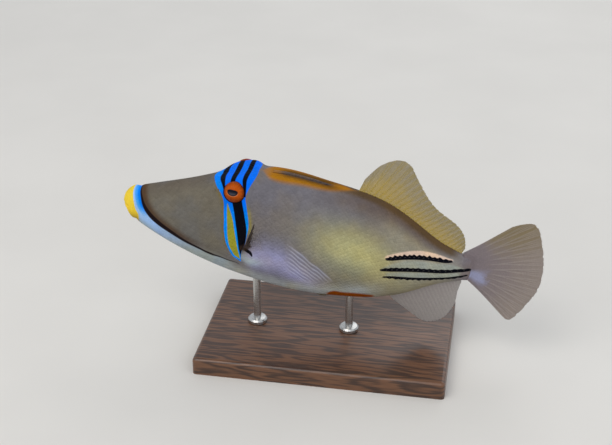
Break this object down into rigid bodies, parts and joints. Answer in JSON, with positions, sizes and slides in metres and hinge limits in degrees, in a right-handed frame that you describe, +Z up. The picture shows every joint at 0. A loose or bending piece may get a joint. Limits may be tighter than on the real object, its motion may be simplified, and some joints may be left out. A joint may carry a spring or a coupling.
{
  "type": "picasso triggerfish museum model",
  "caption": "Life-size picasso triggerfish with a long head, tall soft dorsal and fanned tail, held by rods over a plain rectangular display base.",
  "frame": {"origin": "centre of the underside of the display base, below the middle of the whole model's length", "axes": "+X towards the tail, +Y towards the fish's right side, +Z up; the snout points to -X and a little up"},
  "size_m": [0.2342, 0.09, 0.1174],
  "materials": {
    "skin": "painted scaly fish skin, grey-olive with blue and black face bands, satin",
    "lips": "painted yellow lips, satin",
    "eyes": "glass eye with an orange iris and a dark pupil",
    "fins": "translucent fin membrane with pale rays",
    "spines": "dark, rough spines and folded membrane",
    "wood": "dark, oiled hardwood base",
    "steel": "brushed steel rods"
  },
  "bodies": {
    "root": {"head": "skin", "upper_lip": "lips", "lower_lip": "lips", "trunk": "skin", "tail": "skin", "eye_left": "eyes", "eye_right": "eyes", "first_dorsal_fin": "spines", "second_dorsal_fin": "fins", "anal_fin": "fins", "caudal_fin": "fins", "pectoral_fin_left": "fins", "pectoral_fin_right": "fins", "pelvic_spine": "spines", "stand_base": "wood", "stand_rod_front": "steel", "stand_rod_rear": "steel"}
  },
  "joints": []
}
